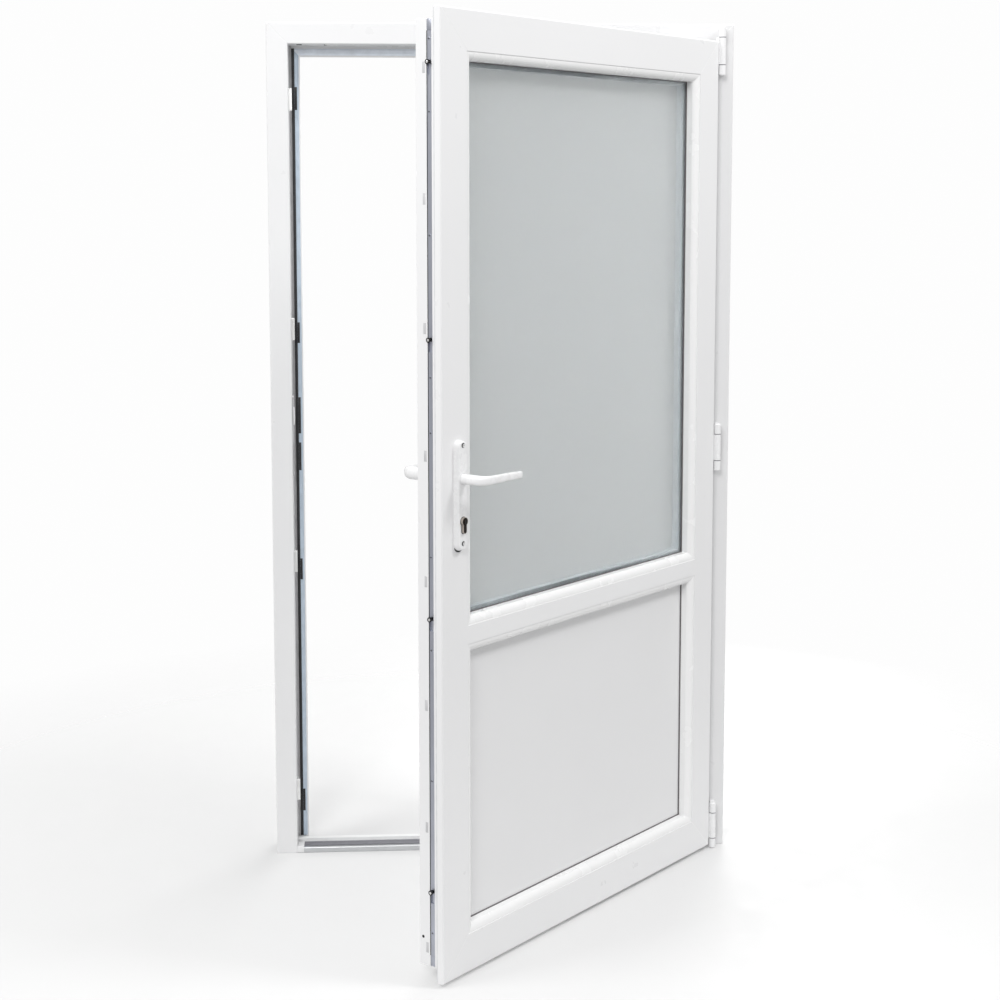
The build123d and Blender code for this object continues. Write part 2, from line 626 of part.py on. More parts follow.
swung = leaf_frame_pieces()
swung.update(glazing_pieces())
faceplate, drive_rod, locking_cams = lock_pieces()
swung["lock_faceplate"] = faceplate
swung["drive_rod"] = drive_rod
swung["locking_cams"] = locking_cams
swung["leaf_seal"] = leaf_seal()
swung["hinge_leaf_knuckles"] = Compound(children=leaf_knuckles)
inner_plate = handle_plate()
swung["inner_handle_plate"] = inner_plate
swung["outer_handle_plate"] = turn_over(inner_plate)
swung["inner_lever"] = lever(INNER_LEVER_HEIGHT, INNER_LEVER_FALL)
swung["outer_lever"] = turn_over(lever(OUTER_LEVER_HEIGHT, OUTER_LEVER_FALL))
spindle_low = LEAF_Y - PLATE_THICKNESS + LEVER_BORE_DEPTH
swung["spindle"] = through(Rectangle(SPINDLE_SIDE, SPINDLE_SIDE), HANDLE_X, SPINDLE_HEIGHT,
                           spindle_low, 2 * LEAF_Y + LEAF_DEPTH - spindle_low)
swung["lock_cylinder"] = through(cylinder_outline(), HANDLE_X, CYLINDER_HEIGHT,
                                 LEAF_Y - PLATE_THICKNESS - CYLINDER_OUT,
                                 LEAF_BACK_Y + PLATE_THICKNESS + CYLINDER_OUT)

for name, shape in fixed.items():
    save(name, shape)
for name, shape in swung.items():
    save(name, opened(shape))
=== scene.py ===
import json
import math

import bmesh
import bpy
from mathutils import Matrix, Vector


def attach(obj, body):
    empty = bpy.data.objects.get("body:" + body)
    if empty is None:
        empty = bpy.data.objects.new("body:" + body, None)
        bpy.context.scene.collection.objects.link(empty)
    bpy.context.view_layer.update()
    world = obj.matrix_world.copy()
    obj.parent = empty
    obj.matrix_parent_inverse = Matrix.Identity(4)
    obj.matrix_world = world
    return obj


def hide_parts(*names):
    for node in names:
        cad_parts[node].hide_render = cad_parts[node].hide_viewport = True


# A white half glazed exterior door standing partly open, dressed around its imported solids.
# Metres, +Z up. The leaf's own axes run along the leaf towards the hinges, back through it, and up.
# The small pieces are drawn in millimetres, in the leaf's axes or in the house's.

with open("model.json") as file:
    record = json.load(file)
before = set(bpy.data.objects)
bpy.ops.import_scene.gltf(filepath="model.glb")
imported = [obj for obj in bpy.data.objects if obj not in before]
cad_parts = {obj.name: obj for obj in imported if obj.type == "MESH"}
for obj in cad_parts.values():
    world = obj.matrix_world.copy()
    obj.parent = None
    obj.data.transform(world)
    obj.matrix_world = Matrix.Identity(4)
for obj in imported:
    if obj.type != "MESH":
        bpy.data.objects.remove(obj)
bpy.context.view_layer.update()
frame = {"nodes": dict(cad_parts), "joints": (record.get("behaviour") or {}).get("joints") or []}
nodes = frame["nodes"]

MM = 0.001

# Camera, found by fitting the frame's and the leaf's corners in the photograph
CAMERA_PLACE = (-0.2676, -4.3315, 1.5933)
CAMERA_PITCH = -6.303
CAMERA_YAW = -3.516
CAMERA_LENS = 65.0
CAMERA_SENSOR = 36.0
CAMERA_SHIFT = -0.1028

# Colours, linear
WHITE_FRAME = (0.80, 0.80, 0.805)
WHITE_LEAF = (0.86, 0.86, 0.865)
WHITE_BEAD = (0.90, 0.90, 0.90)
WHITE_PANEL = (0.81, 0.81, 0.815)
WHITE_COAT = (0.88, 0.88, 0.885)
WELD_WHITE = (0.98, 0.98, 0.98, 1)
FROST = (0.90, 0.925, 0.93)
CLEAR = (0.97, 0.99, 0.985)
SPACER_BLUE = (0.84, 0.90, 0.95)
ALUMINIUM = (0.62, 0.63, 0.64)
BLUE_ZINC = (0.54, 0.56, 0.63)
ZINC = (0.58, 0.58, 0.59)
# Near-white silver, lightened as a painted highlight on the cams and on the keeps
SILVER_HIGHLIGHT = (0.93, 0.93, 0.92)
NICKEL = (0.58, 0.52, 0.47)
DARK_BRONZE = (0.035, 0.028, 0.025)
# Near black of the locking cams: painted shade on them
CAM_SHADE_BLACK = (0.03, 0.03, 0.032)
# Near-black rubber, which also colours the dark sheets of painted shade and shadow
BLACK_RUBBER_AND_SHADE = (0.018, 0.018, 0.02)
GASKET_GREY = (0.13, 0.12, 0.125)
BLUE_RUBBER = (0.50, 0.58, 0.67)
# A lighter copy of the seal rubber for the head: painted light on the head's unlit underside
HEAD_RUBBER_LIGHTENED = (0.80, 0.85, 0.92)
PALE_RUBBER = (0.72, 0.73, 0.74)
# Grey of a strip at the foot of each jamb's reveal: painted shade where the reveal stands in shadow
REVEAL_SHADE_GREY = (0.56, 0.55, 0.56)
# Grey of the fills in the vent slots: painted shade inside the slots
VENT_SHADE_GREY = (0.60, 0.60, 0.61)
TREAD_GREY = (0.17, 0.17, 0.19)
FLOOR_DARKER = (0.74, 0.74, 0.74)
FLOOR_PALER = (0.77, 0.77, 0.77)

# Solids of one node count as separate where they stand this far apart in height, in millimetres
STACK_GAP = 50.0


class Axes:
    """A set of right-handed axes: along, back and up, from an origin."""

    def __init__(self, origin, back):
        self.origin = Vector(origin)
        self.back = Vector(back).normalized()
        self.up = Vector((0, 0, 1))
        self.along = self.back.cross(self.up).normalized()
        self.turn = Matrix((self.along, self.back, self.up)).transposed()
        self.matrix = Matrix.Translation(self.origin) @ self.turn.to_4x4()

    def inside(self, point):
        """A point of the shared frame, in these axes."""
        return self.matrix.inverted() @ Vector(point)

    def span(self, name):
        """Lowest and highest corner of a CAD node in these axes, in metres."""
        points = [self.inside(vertex.co) for vertex in nodes[name].data.vertices]
        low = Vector([min(p[i] for p in points) for i in range(3)])
        high = Vector([max(p[i] for p in points) for i in range(3)])
        return low, high

    def span_mm(self, name):
        """Lowest and highest corner of a CAD node in these axes, in millimetres."""
        low, high = self.span(name)
        return low / MM, high / MM


def joint_named(name):
    """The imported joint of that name."""
    for joint in frame["joints"]:
        if joint["name"] == name:
            return joint
    raise KeyError(name)


def stacked_heights(name):
    """Middle height in millimetres of each solid of a node whose solids stand one above another."""
    levels = sorted(vertex.co.z / MM for vertex in nodes[name].data.vertices)
    groups = [[levels[0]]]
    for level in levels[1:]:
        if level - groups[-1][-1] > STACK_GAP:
            groups.append([])
        groups[-1].append(level)
    return [(group[0] + group[-1]) / 2 for group in groups]


swing = joint_named("leaf_swing")
turn = joint_named("lever_turn")
HOUSE = Axes((0, 0, 0), (0, 1, 0))
LEAF = Axes((swing["pos_m"][0], swing["pos_m"][1], 0), turn["axis"])


# Material building blocks

# What soft noise mostly spans
NOISE_LOW = 0.3
NOISE_HIGH = 0.7


class Surface:
    """A Principled material and the nodes that vary it."""

    def __init__(self, name, axes=HOUSE, **values):
        self.material = bpy.data.materials.new(name)
        self.material.use_nodes = True
        self.tree = self.material.node_tree
        self.shader = self.tree.nodes["Principled BSDF"]
        for key, value in values.items():
            self.shader.inputs[key.replace("_", " ")].default_value = value
        coordinates = self.tree.nodes.new("ShaderNodeTexCoord")
        self.place = self.tree.nodes.new("ShaderNodeMapping")
        self.place.vector_type = "TEXTURE"
        self.place.inputs["Location"].default_value = axes.origin
        self.place.inputs["Rotation"].default_value = axes.turn.to_euler()
        self.link(coordinates.outputs["Object"], self.place.inputs["Vector"])
        self.bump_in = None

    def link(self, start, end):
        """Join an output to an input."""
        self.tree.links.new(start, end)

    def stretched(self, scale):
        """The piece's own coordinates, scaled."""
        node = self.tree.nodes.new("ShaderNodeMapping")
        node.inputs["Scale"].default_value = scale
        self.link(self.place.outputs[0], node.inputs["Vector"])
        return node.outputs[0]

    def noise(self, scale, detail=3.0, roughness=0.55, stretch=(1, 1, 1)):
        """Soft noise, as a value about 0.5."""
        node = self.tree.nodes.new("ShaderNodeTexNoise")
        node.inputs["Scale"].default_value = scale
        node.inputs["Detail"].default_value = detail
        node.inputs["Roughness"].default_value = roughness
        self.link(self.stretched(stretch), node.inputs["Vector"])
        return node.outputs["Fac"]

    def spread(self, value, low, high, out_low, out_high):
        """Map a value from one range to another, clamped."""
        node = self.tree.nodes.new("ShaderNodeMapRange")
        node.inputs["From Min"].default_value = low
        node.inputs["From Max"].default_value = high
        node.inputs["To Min"].default_value = out_low
        node.inputs["To Max"].default_value = out_high
        self.link(value, node.inputs["Value"])
        return node.outputs["Result"]

    def mix(self, value, first, second):
        """A colour between two, each a link or a colour."""
        node = self.tree.nodes.new("ShaderNodeMix")
        node.data_type = "RGBA"
        self.link(value, node.inputs["Factor"])
        for socket, colour in (("A", first), ("B", second)):
            if isinstance(colour, tuple):
                node.inputs[socket].default_value = colour
            else:
                self.link(colour, node.inputs[socket])
        return node.outputs["Result"]

    def tint(self, value, first, second):
        """Base colour between two colours."""
        node = self.mix(value, (*first, 1), (*second, 1))
        self.link(node, self.shader.inputs["Base Color"])
        return node

    def rough(self, value, low, high):
        """Roughness that follows soft noise."""
        level = self.spread(value, NOISE_LOW, NOISE_HIGH, low, high)
        self.link(level, self.shader.inputs["Roughness"])

    def bump(self, value, depth):
        """Add relief, depth in metres."""
        node = self.tree.nodes.new("ShaderNodeBump")
        node.inputs["Strength"].default_value = 1.0
        node.inputs["Distance"].default_value = depth
        self.link(value, node.inputs["Height"])
        if self.bump_in is not None:
            self.link(self.bump_in, node.inputs["Normal"])
        self.bump_in = node.outputs["Normal"]
        self.link(self.bump_in, self.shader.inputs["Normal"])

    def math(self, operation, first, second=None):
        """One sum on values or numbers."""
        node = self.tree.nodes.new("ShaderNodeMath")
        node.operation = operation
        for socket, value in zip(node.inputs, (first, second)):
            if value is None:
                continue
            if isinstance(value, (int, float)):
                socket.default_value = value
            else:
                self.link(value, socket)
        return node.outputs[0]

    def seam(self, planes, half_width):
        """1 on the mitre welds, which lie on the planes given as (normal, distance), and 0 away from them."""
        nearest = None
        for normal, distance in planes:
            dot = self.tree.nodes.new("ShaderNodeVectorMath")
            dot.operation = "DOT_PRODUCT"
            dot.inputs[1].default_value = normal
            self.link(self.place.outputs[0], dot.inputs[0])
            away = self.math("ABSOLUTE", self.math("SUBTRACT", dot.outputs["Value"], distance))
            nearest = away if nearest is None else self.math("MINIMUM", nearest, away)
        return self.spread(nearest, 0.0, half_width, 1.0, 0.0)


def shade(colour, share):
    """A colour times a share, no brighter than 1."""
    return tuple(min(c * share, 1) for c in colour)


def mitre_planes(low, high, corners):
    """The 45 degree planes through a rectangle's corners, each as (normal, distance)."""
    planes = []
    for across, upward in corners:
        x = high.x if across > 0 else low.x
        z = high.z if upward > 0 else low.z
        normal = Vector((across, 0, -upward)).normalized()
        planes.append((normal, normal.dot(Vector((x, 0, z)))))
    return planes


# Materials. Depths and widths in metres.

DIE_LINE_DEPTH = 0.000008
PLASTIC_SKIN_DEPTH = 0.000004
WELD_HALF_WIDTH = 0.0009
WELD_DEPTH = 0.0003
WELD_SHOWS = 0.7
METAL_GRAIN_DEPTH = 0.00002
BRUSHED_DEPTH = 0.000006
RUBBER_SKIN_DEPTH = 0.00003
COAT_PEEL_DEPTH = 0.00001
FROST_DEPTH = 0.00003

LINES_ALONG = (0.02, 6, 6)
LINES_UP = (6, 6, 0.02)
BRUSHED_ALONG = (0.02, 4, 4)
BRUSHED_UP = (6, 6, 0.05)

SATIN = (0.27, 0.35)
GLOSS = (0.2, 0.3)
MATT = (0.34, 0.44)


def plastic(name, colour, axes, run, planes=(), rough=SATIN):
    """Extruded white plastic: fine die lines along its run, a soft tint and weld lines at the mitres."""
    made = Surface(name, axes, IOR=1.5, Specular_IOR_Level=0.5, Coat_Weight=0.1, Coat_Roughness=0.2)
    lines = made.noise(40, 2, 0.5, stretch=LINES_ALONG if run == "along" else LINES_UP)
    cloud = made.spread(made.noise(2.2, 3), NOISE_LOW, NOISE_HIGH, 0, 1)
    tinted = made.tint(cloud, shade(colour, 0.98), colour)
    made.rough(made.noise(14, 4), *rough)
    made.bump(lines, DIE_LINE_DEPTH)
    made.bump(made.noise(1400, 2), PLASTIC_SKIN_DEPTH)
    if planes:
        weld = made.seam(planes, WELD_HALF_WIDTH)
        made.bump(weld, -WELD_DEPTH)
        cleaned = made.mix(made.math("MULTIPLY", weld, WELD_SHOWS), tinted, WELD_WHITE)
        made.link(cleaned, made.shader.inputs["Base Color"])
    return made.material


def metal(name, colour, axes, rough, grain=(1, 1, 1), grain_scale=300, depth=METAL_GRAIN_DEPTH, metallic=1.0):
    """Metal with a grain and uneven polish."""
    made = Surface(name, axes, Metallic=metallic)
    made.tint(made.noise(25, 4), shade(colour, 0.86), shade(colour, 1.08))
    made.rough(made.noise(60, 4, 0.6, grain), *rough)
    made.bump(made.noise(grain_scale, 3, 0.6, grain), depth)
    return made.material


def rubber(name, colour, axes):
    """Matt rubber with a fine skin."""
    made = Surface(name, axes, IOR=1.5)
    made.tint(made.noise(40, 4), tuple(c * 0.8 for c in colour), tuple(c * 1.2 for c in colour))
    made.rough(made.noise(80, 4), 0.5, 0.7)
    made.bump(made.noise(700, 3), RUBBER_SKIN_DEPTH)
    return made.material


def coated(name, colour, axes):
    """White powder coat with a slight orange peel."""
    made = Surface(name, axes, IOR=1.5, Coat_Weight=0.3, Coat_Roughness=0.12)
    made.tint(made.noise(20, 3), shade(colour, 0.98), colour)
    made.rough(made.noise(60, 4), 0.24, 0.32)
    made.bump(made.noise(420, 2), COAT_PEEL_DEPTH)
    return made.material


def clear_glass():
    """The clear front pane."""
    made = Surface("clear_glass", LEAF, IOR=1.5, Transmission_Weight=1.0, Alpha=0.45)
    made.tint(made.noise(2, 2), shade(CLEAR, 0.98), CLEAR)
    made.rough(made.noise(9, 5), 0.0, 0.025)
    return made.material


def frosted_glass():
    """The etched rear pane, which passes soft light."""
    made = Surface("frosted_glass", LEAF, IOR=1.45, Transmission_Weight=0.35)
    made.tint(made.noise(4, 4), shade(FROST, 0.985), FROST)
    made.rough(made.noise(30, 4), 0.52, 0.58)
    made.bump(made.noise(1500, 3), FROST_DEPTH)
    return made.material


bead_upright = plastic("bead_plastic_upright", WHITE_BEAD, LEAF, "up", rough=GLOSS)
bead_level = plastic("bead_plastic_level", WHITE_BEAD, LEAF, "along", rough=GLOSS)
upstand_white = plastic("bead_plastic_sill", WHITE_BEAD, HOUSE, "along")
block_white = plastic("frame_plastic_blocks", WHITE_FRAME, HOUSE, "up")
panel_white = plastic("panel_plastic", WHITE_PANEL, LEAF, "up", rough=MATT)
spacer_metal = metal("spacer_metal", SPACER_BLUE, LEAF, (0.4, 0.52), metallic=0.3)
threshold_metal = metal("threshold_metal", ALUMINIUM, HOUSE, (0.28, 0.42), BRUSHED_ALONG)
zinc_frame = metal("lock_steel_frame", ZINC, HOUSE, (0.3, 0.5))
zinc_leaf = metal("lock_steel", BLUE_ZINC, LEAF, (0.34, 0.5), BRUSHED_UP, 120, BRUSHED_DEPTH)
# Steel darkened to near black as painted shade on the locking cams
cam_shade_steel = metal("lock_steel_painted_shade", CAM_SHADE_BLACK, LEAF, (0.3, 0.45))
# Bright steel for the painted highlights on the cams
highlight_steel = metal("lock_steel_painted_highlight", SILVER_HIGHLIGHT, LEAF, (0.25, 0.4))
bronze = metal("cylinder_metal_dark", DARK_BRONZE, LEAF, (0.2, 0.32))
nickel = metal("cylinder_metal", NICKEL, LEAF, (0.22, 0.36))
# Metal keeps whose silver is lightened to near white as a painted highlight
keep_metal = metal("keep_metal", SILVER_HIGHLIGHT, HOUSE, (0.35, 0.5))
# The near-black rubbers serve real rubber and marks, and the dark sheets of painted shade and shadow
black_frame = rubber("dark_rubber_and_shade_frame", BLACK_RUBBER_AND_SHADE, HOUSE)
black_leaf = rubber("dark_rubber", BLACK_RUBBER_AND_SHADE, LEAF)
blue_seal = rubber("grey_rubber", BLUE_RUBBER, HOUSE)
pale_seal = rubber("pale_rubber", PALE_RUBBER, LEAF)
gasket_grey = rubber("dark_rubber_gasket", GASKET_GREY, LEAF)
# Seal rubber lightened as painted light under the head
head_seal = rubber("grey_rubber_head_painted_light", HEAD_RUBBER_LIGHTENED, HOUSE)
# Grey painted shade for the jambs' reveals
reveal_shade = rubber("reveal_painted_shade", REVEAL_SHADE_GREY, HOUSE)
tread_grey = rubber("dark_rubber_tread", TREAD_GREY, HOUSE)
# Grey painted shade for the vent slots
vent_shade = rubber("vent_painted_shade", VENT_SHADE_GREY, LEAF)
handle_white = coated("handle_metal", WHITE_COAT, LEAF)
hinge_white = coated("hinge_metal", WHITE_COAT, HOUSE)
pane_clear = clear_glass()
pane_frosted = frosted_glass()


# Finishes of the CAD nodes

# Each profile with its run and the corners where it is welded, as (across, upward)
FRAME_PROFILES = (
    ("lock_jamb", "up", ((-1, 1),)),
    ("hinge_jamb", "up", ((1, 1),)),
    ("frame_head", "along", ((-1, 1), (1, 1))),
)
LEAF_PROFILES = (
    ("lock_stile", "up", ((-1, -1), (-1, 1))),
    ("hinge_stile", "up", ((1, -1), (1, 1))),
    ("leaf_top_rail", "along", ((-1, 1), (1, 1))),
    ("leaf_bottom_rail", "along", ((-1, -1), (1, -1))),
    ("mid_rail", "along", ()),
)


def paint(names, material):
    """Give CAD nodes a material."""
    for name in names:
        for slot in nodes[name].material_slots:
            slot.material = material


def paint_profiles(profiles, prefix, colour, axes, low, high):
    """Give each profile of a frame, whose corners are low and high, its own plastic with its weld lines."""
    for name, run, corners in profiles:
        planes = mitre_planes(low, high, corners)
        paint([name], plastic(f"{prefix}_plastic_{name}", colour, axes, run, planes))


frame_low, frame_high = HOUSE.span("frame_head")
leaf_low = LEAF.span("lock_stile")[0]
leaf_high = LEAF.span("hinge_stile")[1]
paint_profiles(FRAME_PROFILES, "frame", WHITE_FRAME, HOUSE, frame_low, frame_high)
paint_profiles(LEAF_PROFILES, "leaf", WHITE_LEAF, LEAF, leaf_low, leaf_high)
for opening in ("glass", "panel"):
    paint([f"{opening}_bead_left", f"{opening}_bead_right"], bead_upright)
    paint([f"{opening}_bead_top", f"{opening}_bead_bottom"], bead_level)
paint(["threshold_upstand"], upstand_white)
paint(["lower_panel"], panel_white)
paint(["glass_spacer"], spacer_metal)
paint(["threshold"], threshold_metal)
paint(["main_strike"], zinc_frame)
# The keeps' metal is partly painted highlight: lightened to near white
paint(["security_keeps"], keep_metal)
paint(["lock_faceplate", "drive_rod", "spindle"], zinc_leaf)
# The locking cams are coloured near black, which stands for the shade on them
paint(["locking_cams"], cam_shade_steel)
paint(["lock_cylinder"], nickel)
paint(["threshold_tread", "hinge_washers"], tread_grey)
paint(["glass_gasket", "panel_gasket"], gasket_grey)
paint(["leaf_seal"], pale_seal)
paint(["lock_jamb_seal", "hinge_jamb_seal"], blue_seal)
# The head seal takes a lighter copy of the seal rubber, painted light under the head
paint(["head_seal"], head_seal)
paint(["inner_handle_plate", "outer_handle_plate", "inner_lever", "outer_lever"], handle_white)
paint(["hinge_frame_knuckles", "hinge_leaf_knuckles", "hinge_pins"], hinge_white)
paint(["front_pane"], pane_clear)
paint(["rear_pane"], pane_frosted)


# Piece building blocks. Every piece is drawn in millimetres in its own axes: along, back and up.

BOX_FACES = ((0, 1, 3, 2), (4, 6, 7, 5), (0, 4, 5, 1), (2, 3, 7, 6), (0, 2, 6, 4), (1, 5, 7, 3))
SHARP = math.radians(32)
QUARTER_TURN = math.radians(90)
ALONG = 0
BACK = 1
CIRCLE_POINTS = 28
SMALL_CIRCLE_POINTS = 20
CORNER_STEPS = 6
KEYHOLE_HEAD_STEPS = 28
KEYHOLE_FOOT_STEPS = 12


class Shape:
    """The faces of one piece, and what makes an object of them."""

    def __init__(self, axes):
        self.axes = axes
        self.mesh = bmesh.new()

    def box(self, first, second):
        """An upright block between two opposite corners."""
        corners = []
        for x in (first[0], second[0]):
            for y in (first[1], second[1]):
                for z in (first[2], second[2]):
                    corners.append(self.mesh.verts.new((x, y, z)))
        for face in BOX_FACES:
            self.mesh.faces.new([corners[i] for i in face])
        return self

    def loft(self, rings):
        """A closed skin over rings of points."""
        rows = [[self.mesh.verts.new(point) for point in ring] for ring in rings]
        for first, second in zip(rows, rows[1:]):
            for i in range(len(first)):
                j = (i + 1) % len(first)
                self.mesh.faces.new((first[i], first[j], second[j], second[i]))
        self.mesh.faces.new(rows[0][::-1])
        self.mesh.faces.new(rows[-1])
        return self

    def prism(self, outline, start, end, axis=BACK):
        """An outline pushed from start to end along one of the axes."""
        return self.loft([[lifted(pair, depth, axis) for pair in outline] for depth in (start, end)])

    def piece(self, name, body, slot, material, bevel=0.0, replaced=()):
        """Make the object, with its sharp edges broken by so many millimetres."""
        bmesh.ops.recalc_face_normals(self.mesh, faces=self.mesh.faces)
        if bevel:
            sharp = [e for e in self.mesh.edges if e.calc_face_angle(0) > SHARP]
            bmesh.ops.bevel(
                self.mesh,
                geom=sharp,
                offset=bevel,
                segments=2,
                profile=0.5,
                affect="EDGES",
                clamp_overlap=True,
            )
        self.mesh.transform(self.axes.matrix @ Matrix.Scale(MM, 4))
        data = bpy.data.meshes.new(name)
        self.mesh.to_mesh(data)
        self.mesh.free()
        data.shade_smooth()
        data.set_sharp_from_angle(angle=SHARP)
        data.materials.append(material)
        made = bpy.data.objects.new(name, data)
        bpy.context.scene.collection.objects.link(made)
        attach(made, body)
        if replaced:
            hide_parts(*replaced)
        return made


def lifted(pair, depth, axis):
    """A point from a flat pair and its depth along the axis."""
    point = list(pair)
    point.insert(axis, depth)
    return point


def circle(centre, radius, count=CIRCLE_POINTS):
    """A round outline."""
    turns = [math.tau * i / count for i in range(count)]
    return [(centre[0] + radius * math.cos(a), centre[1] + radius * math.sin(a)) for a in turns]


def rounded(left, right, low, high, radius):
    """A rectangle's outline with round corners."""
    points = []
    corners = ((right, high, 0), (left, high, 90), (left, low, 180), (right, low, 270))
    for x, z, start in corners:
        centre_x = x - radius if x == right else x + radius
        centre_z = z - radius if z == high else z + radius
        for i in range(CORNER_STEPS + 1):
            a = math.radians(start + 90 * i / CORNER_STEPS)
            points.append((centre_x + radius * math.cos(a), centre_z + radius * math.sin(a)))
    return points


def keyhole(head, head_radius, stem_half, drop):
    """A profile cylinder's outline: a round head, and a narrower stem that ends drop below its middle."""
    x, z = head
    low = z - drop
    start = -math.acos(stem_half / head_radius)
    turned = math.pi - 2 * start
    points = []
    for i in range(KEYHOLE_HEAD_STEPS + 1):
        a = start + turned * i / KEYHOLE_HEAD_STEPS
        points.append((x + head_radius * math.cos(a), z + head_radius * math.sin(a)))
    for i in range(KEYHOLE_FOOT_STEPS + 1):
        a = math.pi + math.pi * i / KEYHOLE_FOOT_STEPS
        points.append((x + stem_half * math.cos(a), low + stem_half + stem_half * math.sin(a)))
    return points


def eased(knots, t):
    """A value at t on a smooth run through knots of (t, value)."""
    for (t0, v0), (t1, v1) in zip(knots, knots[1:]):
        if t <= t1:
            u = (t - t0) / (t1 - t0)
            return v0 + (v1 - v0) * u * u * (3 - 2 * u)
    return knots[-1][1]


# Flat screws of the edges, each with a dark cross in its head

CROSS_HALF = 2.4
CROSS_LINE_HALF = 0.5
CROSS_PROUD = 0.6
FLAT_SCREW_PROUD = 0.5


def edge_screws(axes, back, heights, side, out, radius):
    """Flat screws in a face that looks along (out 1) or against it (out -1), and their dark crosses."""
    heads, crosses = Shape(axes), Shape(axes)
    start = side - out * FLAT_SCREW_PROUD
    end = side + out * FLAT_SCREW_PROUD
    front = side + out * CROSS_PROUD
    for height in heights:
        heads.prism(circle((back, height), radius, SMALL_CIRCLE_POINTS), start, end, ALONG)
        for wide, tall in ((CROSS_HALF, CROSS_LINE_HALF), (CROSS_LINE_HALF, CROSS_HALF)):
            crosses.box((side, back - wide, height - tall), (front, back + wide, height + tall))
    return heads, crosses


# Levers: a round neck that turns the corner and flattens into the grip

spindle = LEAF.inside(turn["pos_m"]) / MM
GRIP_END = LEAF.span_mm("inner_lever")[1].x
GRIP_HALF = 6.0
GRIP_POWER = 3.2
NECK_SUNK = 2.0
TIP_ROUND = 2.6
RING_POINTS = 40
NECK_RINGS = 8
BEND_RINGS = 12
GRIP_RINGS = 22
TIP_RINGS = 5

# Half heights, half widths and squareness along each lever, as (share of its length, value)
INNER_LEVER = {
    "bend": 15,
    "heights": ((0, 10.4), (0.2, 10.2), (0.5, 8.4), (1, 7.2)),
    "widths": ((0, 10.4), (0.16, 9.4), (0.31, 5.65), (1, 5.2)),
    "powers": ((0, 2.0), (0.22, 2.2), (0.5, GRIP_POWER), (1, GRIP_POWER)),
}
OUTER_LEVER = {
    "bend": 24,
    "heights": ((0, 13.4), (0.2, 13.4), (0.36, 9.6), (1, 7.6)),
    "widths": ((0, 10.4), (0.16, 9.8), (0.38, 6.0), (1, 5.2)),
    "powers": ((0, 2.0), (0.2, 2.0), (0.5, GRIP_POWER), (1, GRIP_POWER)),
}


def oval(centre, across, half_width, half_height, power):
    """One ring across the lever, from round (power 2) to squarish."""
    ring = []
    for i in range(RING_POINTS):
        a = math.tau * i / RING_POINTS
        c, s = math.cos(a), math.sin(a)
        u = half_width * math.copysign(abs(c) ** (2 / power), c)
        w = half_height * math.copysign(abs(s) ** (2 / power), s)
        ring.append(centre + across * u + Vector((0, 0, w)))
    return ring


def lever_rings(neck_back, grip_back, bend, heights, widths, powers):
    """Rings from the neck in the plate, round the bend and along the grip to its tip."""
    side = 1 if grip_back > neck_back else -1
    neck = abs(grip_back - neck_back) - bend
    turned = bend * QUARTER_TURN
    grip = GRIP_END - spindle.x - bend
    total = neck + turned + grip
    lengths = [neck * i / NECK_RINGS for i in range(NECK_RINGS)]
    lengths += [neck + turned * i / BEND_RINGS for i in range(BEND_RINGS)]
    lengths += [neck + turned + (grip - TIP_ROUND) * i / GRIP_RINGS for i in range(GRIP_RINGS + 1)]
    rings = []
    for length in lengths:
        angle = QUARTER_TURN * min(max((length - neck) / turned, 0), 1)
        out = min(length, neck) + bend * math.sin(angle)
        along = bend * (1 - math.cos(angle)) + max(length - neck - turned, 0)
        centre = Vector((spindle.x + along, neck_back + side * out, spindle.z))
        across = Vector((math.cos(angle), -side * math.sin(angle), 0))
        t = length / total
        rings.append(oval(centre, across, eased(widths, t), eased(heights, t), eased(powers, t)))
    tip = Vector((GRIP_END - TIP_ROUND, grip_back, spindle.z))
    across = Vector((0, -side, 0))
    for i in range(1, TIP_RINGS + 1):
        angle = QUARTER_TURN * i / TIP_RINGS
        less = TIP_ROUND * (1 - math.cos(angle))
        centre = tip + Vector((TIP_ROUND * math.sin(angle), 0, 0))
        rings.append(oval(centre, across, eased(widths, 1) - less, eased(heights, 1) - less, GRIP_POWER))
    return rings


def add_lever(name, lever, neck_back, grip_back, form):
    """A lever's fine skin, which stands for its solid."""
    shape = Shape(LEAF).loft(lever_rings(neck_back, grip_back, **form))
    shape.piece(name, "handle", "handle_metal", handle_white, replaced=(lever,))


def add_levers():
    """The inner and the outer lever, each from its plate to the middle of its grip."""
    inner_neck = LEAF.span_mm("inner_handle_plate")[0].y + NECK_SUNK
    inner_grip = LEAF.span_mm("inner_lever")[0].y + GRIP_HALF
    outer_neck = LEAF.span_mm("outer_handle_plate")[1].y - NECK_SUNK
    outer_grip = LEAF.span_mm("outer_lever")[1].y - GRIP_HALF
    add_lever("inner_grip", "inner_lever", inner_neck, inner_grip, INNER_LEVER)
    add_lever("outer_grip", "outer_lever", outer_neck, outer_grip, OUTER_LEVER)


# Inner handle plate: screws on dark discs of painted shade in their recesses, and a dark sheet of painted
# shadow that shows at its foot

SCREW_FROM_TOP = 10.0
SCREW_FROM_FOOT = 15.0
RECESS_RADIUS = 5.0
RECESS_SUNK = 0.6
RECESS_PROUD = 0.15
PLATE_SCREW_RADIUS = 3.2
PLATE_SCREW_PROUD = 0.7
PLATE_SCREW_ASIDE = 1.6
PLATE_SCREW_BELOW = 0.8
SLOT_ALONG = (-1.6, 3.2)
SLOT_PROUD = (0.6, 0.85)
SLOT_TALL = 0.9
